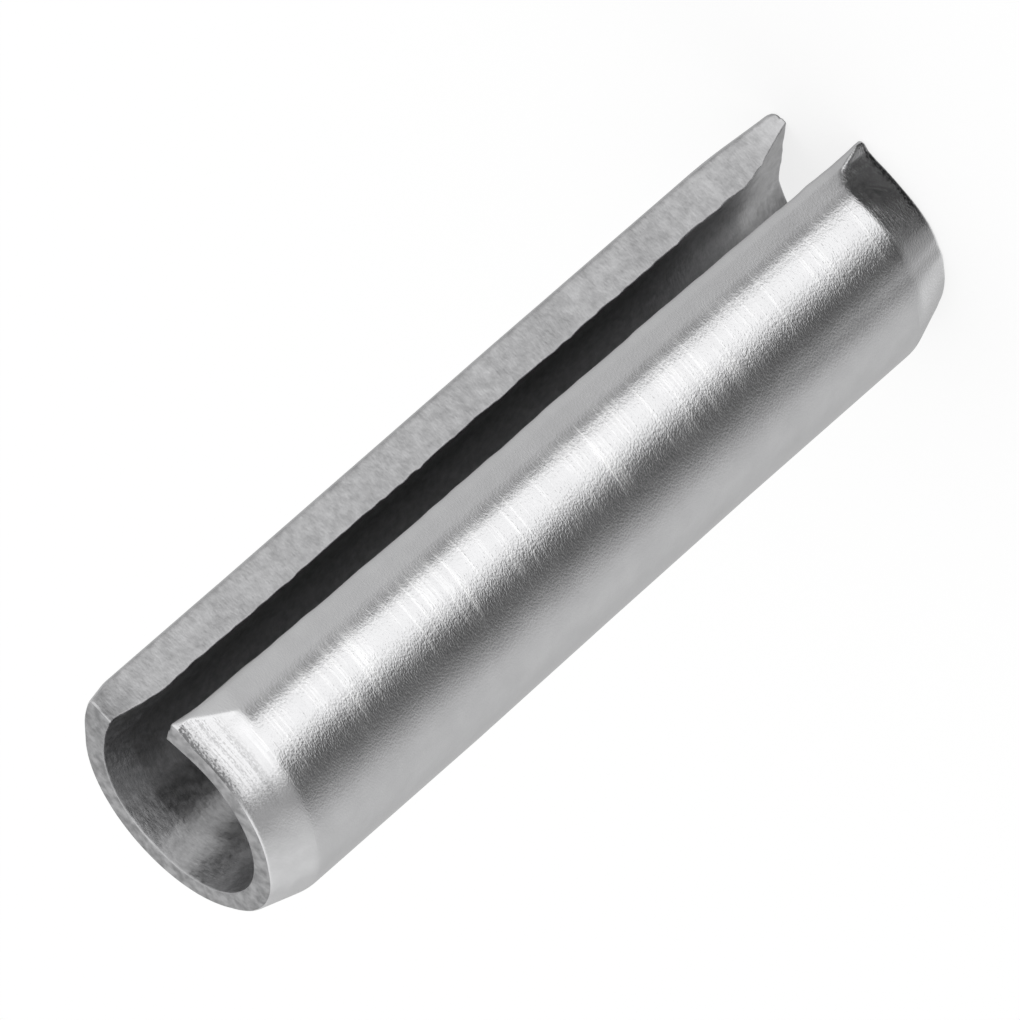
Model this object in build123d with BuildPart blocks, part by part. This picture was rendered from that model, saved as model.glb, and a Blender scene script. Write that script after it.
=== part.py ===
"""Slotted spring pin, 8 x 30 mm, heavy duty: spring steel strip rolled into a tube with an open slot.

The pin is modelled free, before it is driven into its hole.
Its axis is Z, its origin is on the axis half way along, and the slot faces -Y.
All sizes are millimetres and degrees.
"""

import os
from math import asin, atan2, degrees, hypot

from build123d import *

# The rolled tube
length = 30.0
free_diameter = 8.5        # before mounting: it closes to 8 mm in its hole
wall = 1.4                 # thickness of the strip

# The slot
slot_mouth = 2.5           # gap between the two strip edges, at the bore
lip_straight = 0.8         # strip beside each edge that the rolls leave flat

# The ends, coined thinner on both sides so that the pin starts in its hole
chamfer_length = 1.6       # outside, along the axis
chamfer_depth = 0.48       # outside, across the wall
flare_length = 2.1         # inside, along the axis
flare_depth = 0.27         # inside, across the wall

# Rounds
coin_round = 1.5           # where a coined end runs into the straight tube
edge_round = 0.12          # on the corners of the strip, from tumbling

outer_radius = free_diameter / 2
bore_radius = outer_radius - wall

# From the middle of the slot to where each flat lip leaves the round
lip_angle = degrees(
    asin(slot_mouth / 2 / hypot(bore_radius, lip_straight)) + atan2(lip_straight, bore_radius)
)


def edges_at_radius(edges, radius):
    """The edges whose middle lies at about this distance from the pin's axis."""
    return edges.filter_by(
        lambda edge: abs(hypot(edge.center().X, edge.center().Y) - radius) < wall / 4
    )


def edges_at_height(edges, height, tolerance=0.001):
    """The edges whose middle lies at this height along the pin."""
    return edges.filter_by_position(Axis.Z, height - tolerance, height + tolerance)


with BuildPart() as spring_pin:
    # The section is the strip's outside, thickened inwards: a round with a flat lip at each end.
    with BuildSketch(Plane.XY.offset(-length / 2)):
        with BuildLine():
            rolled = CenterArc((0, 0), outer_radius, lip_angle - 90, 360 - 2 * lip_angle)
            PolarLine(rolled @ 0, lip_straight, direction=-(rolled % 0))
            PolarLine(rolled @ 1, lip_straight, direction=rolled % 1)
            offset(amount=wall, side=Side.LEFT, closed=True)
        make_face()
    extrude(amount=length)

    # Each end is coined, with a long chamfer outside and a shallow flare inside.
    for end in (0, -1):
        end_face = spring_pin.faces().sort_by(Axis.Z)[end]
        outer_rim = edges_at_radius(end_face.edges(), outer_radius)
        chamfer(outer_rim, chamfer_depth, chamfer_length, reference=end_face)

        end_face = spring_pin.faces().sort_by(Axis.Z)[end]
        bore_rim = edges_at_radius(end_face.edges(), bore_radius)
        chamfer(bore_rim, flare_depth, flare_length, reference=end_face)

    # The coining fades into the straight tube in a soft bend.
    for coined_length in (chamfer_length, flare_length):
        bend = length / 2 - coined_length
        for height in (-bend, bend):
            fillet(edges_at_height(spring_pin.edges(), height), coin_round)

    # Tumbling takes the sharpness off the two sheared slot faces, which are the largest flats,
    # and off the two end faces.
    slot_faces = spring_pin.faces().filter_by(GeomType.PLANE).sort_by(SortBy.AREA)[-2:]
    end_faces = spring_pin.faces().filter_by(Axis.Z)
    fillet(slot_faces.edges() + end_faces.edges(), edge_round)

spring_pin.part.label = "spring_pin"

os.makedirs("parts", exist_ok=True)
export_step(spring_pin.part, "parts/spring_pin.step")
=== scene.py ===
import math

import bpy
import numpy as np
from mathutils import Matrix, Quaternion, Vector


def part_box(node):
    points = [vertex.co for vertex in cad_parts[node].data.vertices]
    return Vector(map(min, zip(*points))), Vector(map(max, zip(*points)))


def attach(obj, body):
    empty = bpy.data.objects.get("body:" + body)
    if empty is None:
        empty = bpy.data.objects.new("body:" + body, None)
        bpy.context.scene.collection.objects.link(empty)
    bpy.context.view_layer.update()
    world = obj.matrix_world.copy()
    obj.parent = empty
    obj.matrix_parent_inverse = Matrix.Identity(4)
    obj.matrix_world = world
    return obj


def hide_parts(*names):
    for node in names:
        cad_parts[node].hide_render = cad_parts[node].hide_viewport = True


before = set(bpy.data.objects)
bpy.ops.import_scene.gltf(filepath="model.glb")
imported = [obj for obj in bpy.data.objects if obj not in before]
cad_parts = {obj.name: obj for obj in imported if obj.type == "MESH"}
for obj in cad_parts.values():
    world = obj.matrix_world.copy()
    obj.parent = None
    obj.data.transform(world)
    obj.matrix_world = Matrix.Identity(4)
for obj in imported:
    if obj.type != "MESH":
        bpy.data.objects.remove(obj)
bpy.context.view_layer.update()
mm = 0.001

# The camera: a long lens half a metre off, so that the pin keeps nearly parallel sides.
# It looks down on the upper end and is rolled, which lays the standing pin across the picture
# with its slot on top. The object is in focus all over.
aim = Vector((0.18, -0.09, 0.19)) * mm
distance = 542.1 * mm
compass = math.radians(-144.6)
height = math.radians(25.78)
camera_roll = math.radians(-131.1)
camera_data = bpy.data.cameras.new("camera")
camera_data.lens = 637.1
camera_data.sensor_width = 36.0
camera_data.clip_start = 20 * mm
camera = bpy.data.objects.new("camera", camera_data)
bpy.context.scene.collection.objects.link(camera)
outward = Vector((
    math.cos(compass) * math.cos(height),
    math.sin(compass) * math.cos(height),
    math.sin(height),
))
camera.location = aim + outward * distance
upright = (-outward).to_track_quat("-Z", "Y")
roll = Quaternion((0.0, 0.0, 1.0), camera_roll)
camera.rotation_euler = (upright @ roll).to_euler()
bpy.context.scene.camera = camera
bpy.context.scene.view_settings.view_transform = "Standard"


# The floor: a wide round board in matt white paint, level under the pin's lower end.
# The steel doesn't mirror it: in the metal the studio round about shows through, as it does
# when a small pin is held up on a stand.
floor_radius = 2500 * mm
floor_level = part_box("spring_pin")[0].z
floor_rings = (0.02, 0.1, 0.5, 1.0)    # shares of the radius
floor_sides = 96


def linear(colour):
    """A hex colour as the eye reads it, turned to the linear values that light works in."""
    parts = [int(colour[k:k + 2], 16) / 255 for k in (1, 3, 5)]
    return [p / 12.92 if p <= 0.04045 else ((p + 0.055) / 1.055) ** 2.4 for p in parts] + [1.0]


def add_node(tree, kind, links, stops=None, **settings):
    """Adds a node to a tree. Links holds a value or another node's output for each input,
    by its name or, where names repeat, by its number. A colour mix takes its share at 0 and
    its two colours at 6 and 7, and gives the mixed one at 2. Stops are a ramp's places, from
    nought, each with its grey level."""
    node = tree.nodes.new(kind)
    for name, value in settings.items():
        setattr(node, name, value)
    for socket, value in links.items():
        if isinstance(value, bpy.types.NodeSocket):
            tree.links.new(value, node.inputs[socket])
        else:
            node.inputs[socket].default_value = value
    if stops:
        ramp = node.color_ramp
        ramp.elements.remove(ramp.elements[1])
        ramp.elements[0].position = 0.0
        for place, level in stops:
            element = ramp.elements.new(place) if place else ramp.elements[0]
            element.color = (level, level, level, 1.0)
    return node


def new_material(name):
    """An empty material with its output, ready for nodes."""
    material = bpy.data.materials.new(name)
    material.use_nodes = True
    tree = material.node_tree
    tree.nodes.clear()
    return material, tree, tree.nodes.new("ShaderNodeOutputMaterial")


floor_points = [(0.0, 0.0, floor_level)]
floor_faces = []
for ring, reach in enumerate(floor_rings):
    for side in range(floor_sides):
        angle = 2 * math.pi * side / floor_sides
        out = floor_radius * reach
        floor_points.append((out * math.cos(angle), out * math.sin(angle), floor_level))
        here = 1 + ring * floor_sides + side
        beside = 1 + ring * floor_sides + (side + 1) % floor_sides
        if ring == 0:
            floor_faces.append((0, here, beside))
        else:
            floor_faces.append((here - floor_sides, here, beside, beside - floor_sides))
floor_mesh = bpy.data.meshes.new("floor")
floor_mesh.from_pydata(floor_points, [], floor_faces)
floor = bpy.data.objects.new("floor", floor_mesh)
bpy.context.scene.collection.objects.link(floor)
floor.visible_glossy = False

# Matt emulsion paint, rolled on: white, with the roller's faint stipple and no shine. It gives
# the eye an even white. To the camera, and through glass, four fifths of that white is the
# board's own, so that it needs no more light on the pin. The rest keeps the pin's shadow.
stipple_size = 1.4 * mm
stipple_depth = 0.05 * mm
own_white = 0.8
white_paint, tree, output = new_material("matt_white_paint")
place = add_node(tree, "ShaderNodeTexCoord", {})
stipple = add_node(tree, "ShaderNodeTexNoise", {
    "Vector": place.outputs["Object"], "Scale": 1 / stipple_size, "Detail": 2.0})
stippled = add_node(tree, "ShaderNodeBump", {
    "Height": stipple.outputs[0], "Strength": 0.1, "Distance": stipple_depth})
paint = add_node(tree, "ShaderNodeBsdfPrincipled", {
    "Base Color": linear("#FBFBFB"), "Roughness": 0.9, "Normal": stippled.outputs[0]})
seen = add_node(tree, "ShaderNodeLightPath", {})
mirrored = add_node(tree, "ShaderNodeMath", {
    0: seen.outputs["Is Glossy Ray"], 1: seen.outputs["Is Transmission Ray"]}, operation="MAXIMUM")
shown = add_node(tree, "ShaderNodeMath", {
    0: seen.outputs["Is Camera Ray"], 1: mirrored.outputs[0]}, operation="MAXIMUM")
share = add_node(tree, "ShaderNodeMath", {0: shown.outputs[0], 1: own_white}, operation="MULTIPLY")
white = add_node(tree, "ShaderNodeEmission", {"Color": (1.0, 1.0, 1.0, 1.0), "Strength": 1.0})
mixed = add_node(tree, "ShaderNodeMixShader", {
    0: share.outputs[0], 1: paint.outputs[0], 2: white.outputs[0]})
tree.links.new(mixed.outputs[0], output.inputs["Surface"])
floor_mesh.materials.append(white_paint)


# The studio: soft white walls of light all round, brightest overhead and behind the camera.
# Low down the ring is broken by wide gaps between the diffusers, which the steel shows as
# soft dark bands along it. Angles run round the floor, with the camera at ninety degrees.
studio_turn = math.radians(54.6)
sky_light = (1.15, 1.15, 1.15, 1.0)
# How bright the walls are at each angle, at three heights.
wall_light = {
    "down": ((0, 0.54), (8, 0.46), (22, 0.41), (28, 0.36), (38, 0.28), (48, 0.08), (125, 0.03),
             (140, 0.45), (200, 0.55), (300, 0.95), (332, 0.97), (346, 0.88), (352, 0.70),
             (360, 0.54)),
    "low": ((0, 0.60), (10, 0.42), (28, 0.15), (40, 0.09), (56, 0.09), (66, 0.80), (74, 1.42),
            (96, 1.42), (102, 0.82), (105, 0.24), (110, 0.20), (115, 0.55), (118, 0.64),
            (270, 0.50), (300, 0.56), (330, 0.66), (345, 0.66), (360, 0.60)),
    "level": ((0, 0.76), (17, 0.64), (28, 0.46), (38, 0.40), (50, 0.50), (64, 1.32), (112, 1.38),
              (124, 0.95), (180, 0.75), (310, 0.70), (335, 0.88), (360, 0.76)),
}
# Where each height takes over from the one below it, in degrees above the horizon.
takes_over = (("low", -48, -36), ("level", -32, -2), ("sky", 14, 55))

world = bpy.data.worlds.new("studio")
bpy.context.scene.world = world
world.use_nodes = True
tree = world.node_tree
tree.nodes.clear()
direction = add_node(tree, "ShaderNodeTexCoord", {})
turned = add_node(tree, "ShaderNodeMapping", {
    "Vector": direction.outputs["Generated"], "Rotation": (0.0, 0.0, studio_turn)})
around = add_node(tree, "ShaderNodeTexGradient", {"Vector": turned.outputs[0]}, gradient_type="RADIAL")
ring_light = {"sky": sky_light}
for name, stops in wall_light.items():
    diffusers = add_node(tree, "ShaderNodeValToRGB", {"Fac": around.outputs["Fac"]},
                         stops=[(angle / 360, level) for angle, level in stops])
    ring_light[name] = diffusers.outputs[0]
rise = add_node(tree, "ShaderNodeSeparateXYZ", {"Vector": direction.outputs["Generated"]})
room = ring_light["down"]
for name, start, end in takes_over:
    over = add_node(tree, "ShaderNodeMapRange", {
        "Value": rise.outputs["Z"],
        "From Min": math.sin(math.radians(start)),
        "From Max": math.sin(math.radians(end)),
    }, interpolation_type="SMOOTHSTEP")
    both = add_node(tree, "ShaderNodeMix", {
        0: over.outputs[0], 6: room, 7: ring_light[name]}, data_type="RGBA")
    room = both.outputs[2]
glow = add_node(tree, "ShaderNodeBackground", {"Color": room, "Strength": 1.0})
tree.links.new(glow.outputs[0], add_node(tree, "ShaderNodeOutputWorld", {}).inputs["Surface"])


# The spring pin: a strip of hardened spring steel, cropped to length and rolled round a former.
# Both its long edges are slit, so the slot has sheared faces. Each end is coined to a lead-in
# between dies, which run out just short of the slot, and the bore is flared by the same tool.
low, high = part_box("spring_pin")

# Its sizes are in millimetres. The first lip, where the strip's width starts, is the one
# towards +X.
radius = -low.x / mm
half_length = high.z / mm
lips_reach = low.y / mm               # nothing stands out past the lips, towards -Y
wall = 1.4
lip_flat = 0.8                        # the strip beside each slot edge that the rolls leave flat
lip_turn = math.radians(40.9)         # from the slot's middle to where a lip leaves the round
coin_depth, coin_length, coin_bend = 0.48, 1.6, 0.22
flare_depth, flare_length, flare_bend = 0.29, 2.1, 0.15
edge_round = 0.12                     # from tumbling, on the outer edges
inner_edge_round = 0.05
slot_twist = math.radians(2.3)        # at each end, opposite ways, as the strip springs back

arc_length = radius * (2 * math.pi - 2 * lip_turn)
strip_width = arc_length + 2 * lip_flat


def stations(total, step, close):
    """Places along a side: the close ones at both its edges, and even steps between them."""
    inner = np.linspace(close[-1], total - close[-1], max(2, round((total - 2 * close[-1]) / step) + 1))
    return np.concatenate([close[:-1], inner, total - np.array(close[:-1])[::-1]])


# The mesh is finest over the rounded edges, then over the coining and beside the slot.
rounding = [0.0, 0.025, 0.055, 0.09, edge_round]
over_the_coining = list(np.arange(0.22, 2.6, 0.1))
beside_the_slot = list(np.arange(0.16, 1.6, 0.055))
along = stations(2 * half_length, 0.19, rounding + over_the_coining)
across = stations(wall, 0.1, rounding)
around_strip = stations(strip_width, 0.17, rounding + beside_the_slot)


def fading(distance, reach):
    """One where the distance is nothing, falling evenly to nothing at its reach and past it."""
    return np.clip(1 - distance / reach, 0, 1)


def ease(part):
    """A share from nothing to one, with a slow start and a slow end."""
    return part * part * (3 - 2 * part)


def bend(depth, length, soft, from_end):
    """How far a coined slope stands in from the plain wall, with a soft bend where it begins."""
    steep = depth / length
    straight = np.clip(steep * (length - from_end), 0, None)
    inside = np.clip(from_end - (length - soft), 0, 2 * soft)
    soft_part = steep * (2 * soft - inside) ** 2 / (4 * soft)
    return np.where(np.abs(from_end - length) < soft, soft_part, straight)


def wander(place, spacing, seed):
    """A smooth uneven line between -1 and 1, whose swings are spacing millimetres long."""
    values = np.random.default_rng(seed).uniform(-1, 1, 400)
    at = np.clip(place / spacing, 0, len(values) - 2)
    start = np.floor(at).astype(int)
    part = ease(at - start)
    return values[start] * (1 - part) + values[start + 1] * part


def whereabouts(a, c):
    """For a along the strip's width and c along the pin: the distances from the nearer slot edge
    and the nearer end, and whether it is in the lower half and in the second lip's half."""
    from_slot = np.minimum(a, strip_width - a)
    from_end = np.minimum(c, 2 * half_length - c)
    return from_slot, from_end, c < half_length, a > strip_width / 2


def coined(a, c):
    """How deep the dies press the outside in, and the least by which they do so at the second
    lip, where they run out along a crease."""
    from_slot, from_end, lower, second = whereabouts(a, c)
    # Beside the second lip the coining runs further along the pin, and its bend is sharper.
    further = np.where(lower, 0.25, 0.35) * fading(from_slot, 3)
    length = coin_length + np.where(second, further, 0)
    soft = np.where(from_slot < 3, 0.08, coin_bend)
    # The lower die sat askew on that half, so its rim is thicker in one place than in another.
    uneven = np.interp(from_slot, (2.0, 2.9, 4.0, 4.8, 5.3, 6.6, 7.4, 8.8),
                       (1, 0.8, 0.6, 0.6, 0.8, 1.1, 1.2, 1))
    depth = coin_depth * np.where(lower & second, uneven, 1)
    slope = bend(depth, length, soft, from_end)
    # The first lip is only brushed: the full depth comes in over the 2.2 mm beside it.
    full = ease(np.clip(from_slot / 2.2, 0, 1))
    brushed = np.where(lower, bend(0.20, 2.7, 0.8, from_end), bend(0.16, 0.85, 0.12, from_end))
    first_half = slope * full + brushed * (1 - full)
    # The second lip stands up out of the dies, highest at its very edge.
    missed = np.where(
        lower,
        np.interp(from_slot, (0.0, 0.38, 0.75, 1.4), (0.42, 0.11, 0.03, 0)),
        np.interp(from_slot, (0.0, 0.93, 1.6), (0.42, 0.03, 0)),
    )
    # They still touch it there, most at the rim.
    least = slope * (0.10 + 0.32 * fading(from_end, 0.35))
    return np.where(second, slope - missed, first_half), least


def pressed_in(a, c):
    """How far in the outside lies from the plain round."""
    from_slot, _, _, second = whereabouts(a, c)
    pressed, least = coined(a, c)
    # Whichever is more of the two, with the crease between them rounded.
    over = pressed - least
    crease_round = 0.012
    more = least + (over + np.sqrt(over ** 2 + crease_round ** 2)) / 2
    drop = np.where(second, more, pressed)
    # The rolls left a flat along the second lip's half, which fades out in the lowest 10 mm.
    flat = np.interp(strip_width - a, (3.5, 4.35, 6.6), (0, 0.09, 0))
    drop = drop + flat * fading(c, 10)
    # Further round, a band of that half swells as it nears the upper end.
    swollen = np.interp(strip_width - a, (6.2, 7.4, 8.5, 9.6, 10.8), (0, 0.09, 0.12, 0.09, 0))
    drop = drop - swollen * np.interp(c, (9, 15, 21), (0, 0.4, 1))
    # The first lip dips towards the upper end.
    dip = np.where(second, 0, 0.045 * fading(from_slot, 2))
    return drop + dip * np.clip((c - 12) / 12, 0, 1)


def flared(a, c):
    """How far out the bore lies from its plain round at each end."""
    from_slot, from_end, lower, second = whereabouts(a, c)
    # At the lower first lip the flare opens wide. At the upper end its first half is shallow.
    wide = np.interp(from_slot, (0.0, 0.7, 1.4, 2.2, 3.0, 3.6, 4.2),
                     (0.62, 0.36, 0.17, 0.11, 0.20, 0.30, 0.28))
    shallow = np.interp(from_slot, (0.0, 0.7, 1.5, 8.0, 11.0),
                        (flare_depth, 0.25, 0.16, 0.16, flare_depth))
    depth = np.where(second, flare_depth, np.where(lower, wide, shallow))
    length = np.where(second | lower, flare_length, flare_length * depth / flare_depth)
    return bend(depth, length, flare_bend, from_end)


def sheared(a, c):
    """What the slitting does to the slot's edges: how far it draws the outer edge in, and how
    far out it tears the inner one, less the small burrs that it leaves hanging there."""
    from_slot, from_end, lower, second = whereabouts(a, c)
    # The lower corner of the first lip is rounded off as well.
    corner = fading(from_end, 0.3) * np.where(lower & ~second, fading(from_slot, 1), 0)
    drawn_in = 0.035 * fading(from_slot, 0.35) ** 2 + 0.26 * (1 - np.sqrt(1 - corner ** 2))
    ragged = 0.025 * wander(c, 0.35, seed=5) + 0.02 * wander(c, 1.1, seed=6)
    burrs = 0.07 * np.clip(wander(c, 0.3, seed=21) - 0.4, 0, 1) * fading(from_slot, 0.15)
    return drawn_in, ragged * fading(from_slot, 0.4) ** 1.5 - burrs


def widened(a, c):
    """How far each slot edge lies beyond its true line, outwards along the strip's width: the
    coining spreads the tips, and the slitting wavers."""
    from_slot, from_end, lower, second = whereabouts(a, c)
    tip = fading(from_end, 1.3) ** 2
    first_tip = np.where(lower, 0.18, 0.13) * tip
    second_tip = 0.01 + np.where(lower, 0.11, 0.16) * tip
    first_waver = 0.015 * wander(c, 1.4, seed=13)
    second_waver = 0.014 * wander(c, 0.5, seed=11) + 0.012 * wander(c, 1.6, seed=12)
    wider = np.where(second, second_tip + second_waver, -(first_tip + first_waver))
    return wider * fading(from_slot, 1.2)


def shape(a, b, c):
    """A point of the strip, a along its width, b up through the wall from the bore and c along
    the pin, taken to its place on the rolled and coined pin in millimetres."""
    # Round every edge: what lies outside the core is drawn on to a ball about it.
    r = np.where(b > wall / 2, edge_round, inner_edge_round)
    core = [np.clip(a, r, strip_width - r), np.clip(b, r, wall - r), np.clip(c, r, 2 * half_length - r)]
    away = np.stack([a - core[0], b - core[1], c - core[2]])
    reach = np.maximum(np.sqrt((away ** 2).sum(0)), 1e-9)
    a, b, c = [k + r * d / reach for k, d in zip(core, away)]
    # Coin, flare and slit it.
    through = np.clip((b - r) / (wall - 2 * r), 0, 1)
    drawn_in, torn = sheared(a, c)
    b = b + (flared(a, c) + torn) * (1 - through) - (pressed_in(a, c) + drawn_in) * through
    a = a + widened(a, c)
    # Roll it up, with a flat lip at each end of the round.
    on_arc = np.clip(a - lip_flat, 0, arc_length)
    past_arc = a - lip_flat - on_arc
    angle = lip_turn - math.pi / 2 + on_arc / radius
    out = radius - wall + b
    x = out * np.cos(angle) - past_arc * np.sin(angle)
    y = out * np.sin(angle) + past_arc * np.cos(angle)
    z = c - half_length
    # Let it spring back.
    twist = slot_twist * np.sign(z) * np.abs(z / half_length) ** 2.5
    turned_x = x * np.cos(twist) - y * np.sin(twist)
    turned_y = x * np.sin(twist) + y * np.cos(twist)
    return np.stack([turned_x, np.maximum(turned_y, lips_reach), z], -1)


# The strip as a block: for each side, the places along its rows and columns, and where in the
# strip a row's p and a column's q lie.
sides = {
    "outside": (around_strip, along, lambda p, q: (p, np.full_like(p, wall), q)),
    "bore": (around_strip, along, lambda p, q: (p, np.zeros_like(p), q)),
    "first_slot_face": (across, along, lambda p, q: (np.zeros_like(p), p, q)),
    "second_slot_face": (across, along, lambda p, q: (np.full_like(p, strip_width), p, q)),
    "lower_end_face": (around_strip, across, lambda p, q: (p, q, np.zeros_like(p))),
    "upper_end_face": (around_strip, across, lambda p, q: (p, q, np.full_like(p, 2 * half_length))),
}
turned_over = ("bore", "second_slot_face", "upper_end_face")    # so that they face outwards
rolled, bored, slit, cropped, die_pressed = range(5)
finish_of = {"outside": rolled, "bore": bored, "first_slot_face": slit, "second_slot_face": slit,
             "lower_end_face": cropped, "upper_end_face": cropped}
least_press = 0.01                    # the dies leave their own finish where they press more
points, faces, finishes = [], [], []
known = {}                            # the sides share the points along their common edges
for side, (rows, columns, put) in sides.items():
    p, q = np.meshgrid(rows, columns, indexing="ij")
    block = np.stack(put(p, q), -1)
    places = np.round(block, 5)
    pressed, least = coined(block[..., 0], block[..., 2])
    by_dies = (pressed > least + least_press) & (side == "outside")
    number = np.zeros(p.shape, int)
    for i, j in np.ndindex(p.shape):
        key = tuple(places[i, j])
        if key not in known:
            known[key] = len(known)
            points.append(block[i, j])
        number[i, j] = known[key]
    for i, j in np.ndindex(p.shape[0] - 1, p.shape[1] - 1):
        face = (number[i, j], number[i + 1, j], number[i + 1, j + 1], number[i, j + 1])
        faces.append(face[::-1] if side in turned_over else face)
        finishes.append(die_pressed if by_dies[i, j] else finish_of[side])
points = np.array(points)
shaped = shape(points[:, 0], points[:, 1], points[:, 2]) * mm
pin_mesh = bpy.data.meshes.new("rolled_pin")
pin_mesh.from_pydata(shaped.tolist(), [], faces)
pin_mesh.polygons.foreach_set("material_index", finishes)
pin_mesh.shade_smooth()
pin = bpy.data.objects.new("rolled_pin", pin_mesh)
bpy.context.scene.collection.objects.link(pin)


def towards(degrees):
    """A direction across the pin, over its radius, so that the outside measures one there."""
    turn = math.radians(degrees)
    return math.cos(turn) / radius, math.sin(turn) / radius, 0.0


coarse_side = towards(-174.6)         # where the grain is coarsest
scuffed_highlight_side = towards(-151.6)        # where other pins have rubbed it, and where the scuffs carry a painted highlight
scored_and_shaded_side = towards(-134.6)           # where the coined rims are scored, and where a painted shade darkens them
no_side = (0.0, 0.0, 0.0)


def steel(name, tones, rough, marks, grain, clouds):
    """Bare hardened spring steel, with the nodes that the scuffs and score lines, with their painted
    highlight and painted rim shade, build on.
    Marks run round the pin, and have a width, a depth and the width's share of their length.
    Grain has a size, a depth and the side where it is coarsest, and clouds a size and how
    softly they blend the two tones. Sizes are in millimetres."""
    material, tree, output = new_material(name)
    place = add_node(tree, "ShaderNodeTexCoord", {})
    in_mm = add_node(tree, "ShaderNodeVectorMath", {
        0: place.outputs["Object"], 1: (1 / mm, 1 / mm, 1 / mm)}, operation="MULTIPLY")
    drawn_out = add_node(tree, "ShaderNodeVectorMath", {
        0: in_mm.outputs[0], 1: (marks[2], marks[2], 1.0)}, operation="MULTIPLY")
    lines = add_node(tree, "ShaderNodeTexNoise", {
        "Vector": drawn_out.outputs[0], "Scale": 1 / marks[0], "Detail": 2.0, "Roughness": 0.6})
    # The grain is half as long along the pin as round it.
    flattened = add_node(tree, "ShaderNodeVectorMath", {
        0: in_mm.outputs[0], 1: (1.0, 1.0, 2.0)}, operation="MULTIPLY")
    grains = add_node(tree, "ShaderNodeTexNoise", {
        "Vector": flattened.outputs[0], "Scale": 1 / grain[0], "Detail": 1.5, "Roughness": 0.5})
    cloud = add_node(tree, "ShaderNodeTexNoise", {
        "Vector": in_mm.outputs[0], "Scale": 1 / clouds[0], "Detail": 4.0, "Roughness": 0.6})
    line_bump = add_node(tree, "ShaderNodeBump", {
        "Height": lines.outputs[0], "Distance": marks[1] * mm, "Strength": 1.0})
    # Away from its coarse side the grain fades to a quarter.
    coarse = add_node(tree, "ShaderNodeVectorMath", {
        0: in_mm.outputs[0], 1: grain[2]}, operation="DOT_PRODUCT")
    strength = add_node(tree, "ShaderNodeMapRange", {
        "Value": coarse.outputs["Value"],
        "From Min": 0.70, "From Max": 0.95, "To Min": 0.25, "To Max": 1.0})
    grain_bump = add_node(tree, "ShaderNodeBump", {
        "Height": grains.outputs[0], "Distance": grain[1] * mm, "Strength": strength.outputs[0],
        "Normal": line_bump.outputs[0]})
    cloudy = add_node(tree, "ShaderNodeMapRange", {
        "Value": cloud.outputs[0], "From Min": 0.5 - clouds[1], "From Max": 0.5 + clouds[1]})
    tone = add_node(tree, "ShaderNodeMix", {
        0: cloudy.outputs[0], 6: linear(tones[0]), 7: linear(tones[1])}, data_type="RGBA")
    dull = add_node(tree, "ShaderNodeMapRange", {
        "Value": cloud.outputs[0],
        "From Min": 0.3, "From Max": 0.7, "To Min": rough[0], "To Max": rough[1]})
    metal = add_node(tree, "ShaderNodeBsdfPrincipled", {
        "Base Color": tone.outputs[2], "Metallic": 1.0, "Roughness": dull.outputs[0],
        "Normal": grain_bump.outputs[0]})
    tree.links.new(metal.outputs[0], output.inputs["Surface"])
    return {
        "material": material, "tree": tree, "metal": metal, "in_mm": in_mm.outputs[0],
        "lines": lines.outputs[0], "grains": grains.outputs[0], "cloud": cloud.outputs[0],
        "line_bump": line_bump, "line_depth": marks[1] * mm}


def colour_over(steel_nodes, share, colour):
    """Lays a colour over the metal's own by a share."""
    base = steel_nodes["metal"].inputs["Base Color"]
    laid = add_node(steel_nodes["tree"], "ShaderNodeMix", {
        0: share, 6: base.links[0].from_socket, 7: linear(colour)}, data_type="RGBA")
    steel_nodes["tree"].links.new(laid.outputs[2], base)


def scuff_with_painted_highlight(steel_nodes, amount):
    """Pale scuffs on the scuffed side: bright short lines that run round the pin, a little
    duller than the rest, with the marks three times as deep there and none elsewhere. Their pale,
    bright colour is a painted highlight, laid only on the side that mirrors the studio's bright band."""
    tree = steel_nodes["tree"]
    beside = add_node(tree, "ShaderNodeVectorMath", {
        0: steel_nodes["in_mm"], 1: scuffed_highlight_side}, operation="DOT_PRODUCT")
    there = add_node(tree, "ShaderNodeMapRange", {
        "Value": beside.outputs["Value"], "From Min": 0.94, "From Max": 0.98})
    broken = add_node(tree, "ShaderNodeMath", {
        0: steel_nodes["cloud"], 1: 0.4, 2: steel_nodes["lines"]}, operation="MULTIPLY_ADD")
    scuff_highlight_lines = add_node(tree, "ShaderNodeMapRange", {
        "Value": broken.outputs[0], "From Min": 0.74, "From Max": 1.00, "To Max": amount})
    scuff_highlight_share = add_node(tree, "ShaderNodeMath", {
        0: scuff_highlight_lines.outputs[0], 1: there.outputs[0]}, operation="MULTIPLY")
    # The pale colour laid over the scuffs is a painted highlight.
    colour_over(steel_nodes, scuff_highlight_share.outputs[0], "#FAFAFA")
    roughness = steel_nodes["metal"].inputs["Roughness"]
    duller = add_node(tree, "ShaderNodeMath", {
        0: scuff_highlight_share.outputs[0], 1: 0.14, 2: roughness.links[0].from_socket}, operation="MULTIPLY_ADD")
    tree.links.new(duller.outputs[0], roughness)
    steel_nodes["line_bump"].inputs["Distance"].default_value = steel_nodes["line_depth"] * 3
    tree.links.new(there.outputs[0], steel_nodes["line_bump"].inputs["Strength"])


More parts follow.
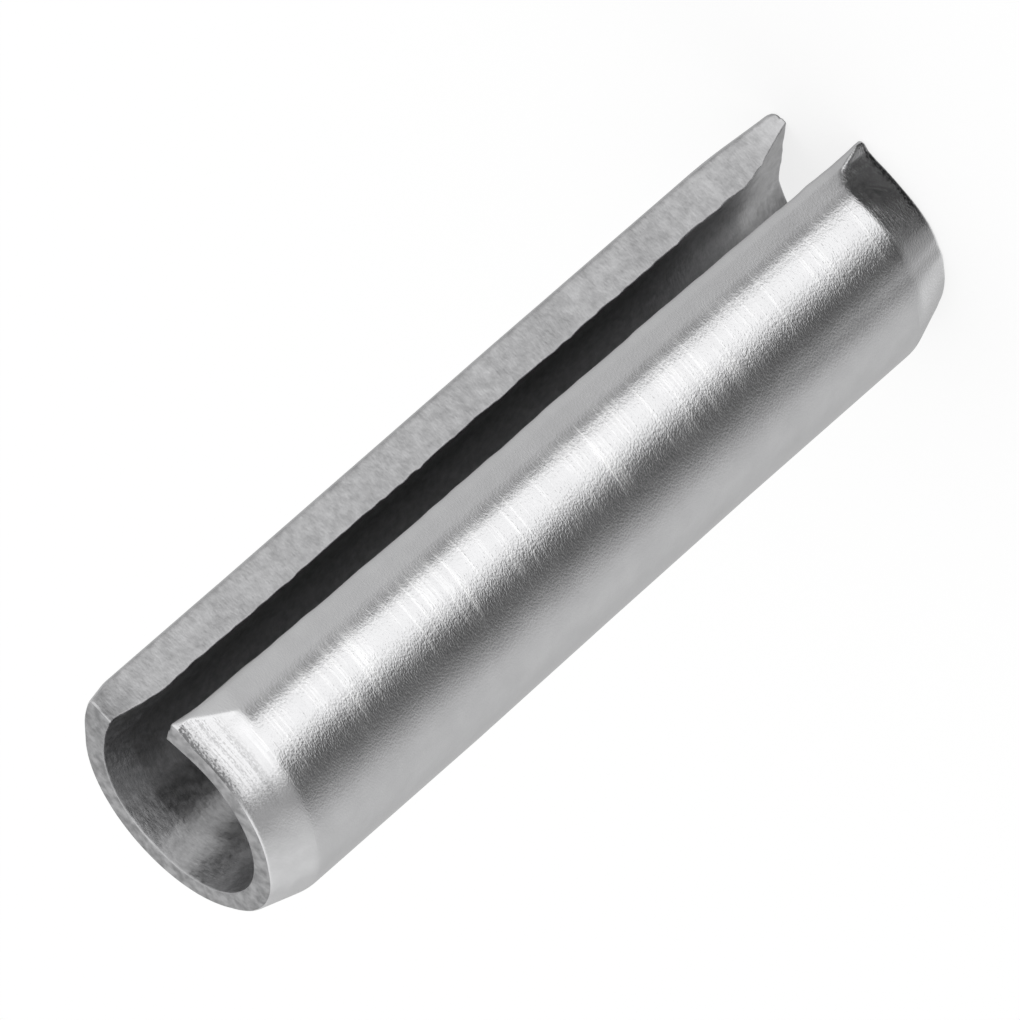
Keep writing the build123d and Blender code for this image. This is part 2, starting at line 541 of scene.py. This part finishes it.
def score_and_shade_rims(steel_nodes, amount):
    """Grey score lines round the upper end, and a painted shade along both rims: a dark
    band 0.3 mm wide with a pitted edge. Both are on one side only."""
    tree = steel_nodes["tree"]
    near_side = add_node(tree, "ShaderNodeVectorMath", {
        0: steel_nodes["in_mm"], 1: scored_and_shaded_side}, operation="DOT_PRODUCT")
    local = add_node(tree, "ShaderNodeMapRange", {
        "Value": near_side.outputs["Value"], "From Min": 0.72, "From Max": 0.86})
    place = add_node(tree, "ShaderNodeSeparateXYZ", {"Vector": steel_nodes["in_mm"]})
    upper_end = add_node(tree, "ShaderNodeMapRange", {
        "Value": place.outputs["Z"],
        "From Min": half_length - 1.3, "From Max": half_length - 1.0, "To Max": 0.5})
    uneven = add_node(tree, "ShaderNodeMath", {
        0: steel_nodes["grains"], 1: 0.7, 2: steel_nodes["lines"]}, operation="MULTIPLY_ADD")
    hollows = add_node(tree, "ShaderNodeMapRange", {
        "Value": uneven.outputs[0],
        "From Min": 0.68, "From Max": 0.90, "To Min": 1.0, "To Max": 0.0})
    at_end = add_node(tree, "ShaderNodeMath", {
        0: hollows.outputs[0], 1: upper_end.outputs[0]}, operation="MULTIPLY")
    scored = add_node(tree, "ShaderNodeMath", {
        0: at_end.outputs[0], 1: local.outputs[0]}, operation="MULTIPLY")
    colour_over(steel_nodes, scored.outputs[0], "#8A8A8B")
    # A painted shade: a dark band along both rims, broken up by the grain.
    from_middle = add_node(tree, "ShaderNodeMath", {0: place.outputs["Z"]}, operation="ABSOLUTE")
    steep = 1.2                       # how sharply the painted shade begins, against the grain's pits
    band_start = (half_length - 0.30) * steep
    speckled_rim_edge = add_node(tree, "ShaderNodeMath", {
        0: from_middle.outputs[0], 1: steep, 2: steel_nodes["grains"]}, operation="MULTIPLY_ADD")
    band = add_node(tree, "ShaderNodeMapRange", {
        "Value": speckled_rim_edge.outputs[0],
        "From Min": band_start + 0.50, "From Max": band_start + 0.76, "To Max": amount})
    painted_rim_shade = add_node(tree, "ShaderNodeMath", {
        0: band.outputs[0], 1: local.outputs[0]}, operation="MULTIPLY")
    colour_over(steel_nodes, painted_rim_shade.outputs[0], "#4C4C4D")


# Bright rolled strip, polished by the rolls and then tumbled: a soft mirror that draws the
# studio out into bands along the pin. The real roll marks are some 0.03 mm wide and the dents
# from tumbling some 0.02 mm, too fine to show, so they are drawn at 0.14 and 0.09 mm.
rolled_steel = steel(
    "rolled_spring_steel", tones=("#CFCFD0", "#DADADB"), rough=(0.15, 0.21),
    marks=(0.14, 0.002, 0.015), grain=(0.09, 0.010, coarse_side), clouds=(1.2, 0.25))
# Scuffs, whose pale colour is a painted highlight.
scuff_with_painted_highlight(rolled_steel, 0.8)

# The bore: darker and duller than the outside, with patches a quarter of a millimetre wide
# # that break up what it mirrors.
bore_steel = steel(
    "dull_bore_steel", tones=("#A0A0A1", "#BEBEBF"), rough=(0.28, 0.36),
    marks=(0.15, 0.004, 0.2), grain=(0.20, 0.030, no_side), clouds=(0.25, 0.2))

# The slit faces, half cut and half torn across the wall: a satin grey with hardly a reflection,
# lightly mottled by the tear marks, which are 0.2 to 0.3 mm apart.
slit_steel = steel(
    "slit_edge_steel", tones=("#A8A8A9", "#CECECF"), rough=(0.38, 0.48),
    marks=(0.25, 0.006, 0.6), grain=(0.18, 0.030, no_side), clouds=(0.35, 0.21))

# The cropped end faces, broken off rather than cut: the darkest and roughest of the steel,
# which reads as a thin matt ring. Its facets are some 0.05 mm wide, drawn at 0.12 mm to show.
cropped_steel = steel(
    "cropped_end_steel", tones=("#868687", "#AEAEAF"), rough=(0.42, 0.52),
    marks=(0.15, 0.006, 1.0), grain=(0.12, 0.040, no_side), clouds=(0.35, 0.14))

# The coined ends, pressed smooth by the dies: paler and satin, with the dies' own turning marks
# as fine lines round the pin. The real lines are some 0.03 mm wide, drawn at 0.09 mm to show.
coined_steel = steel(
    "coined_steel", tones=("#D0D0D1", "#DEDEDF"), rough=(0.18, 0.26),
    marks=(0.09, 0.002, 0.02), grain=(0.09, 0.030, no_side), clouds=(0.8, 0.25))
# Scuffs with a painted highlight, then score lines and a painted shade along both rims.
scuff_with_painted_highlight(coined_steel, 0.5)
score_and_shade_rims(coined_steel, 0.85)

for finish in (rolled_steel, bore_steel, slit_steel, cropped_steel, coined_steel):
    pin_mesh.materials.append(finish["material"])
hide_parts("spring_pin")
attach(pin, "root")
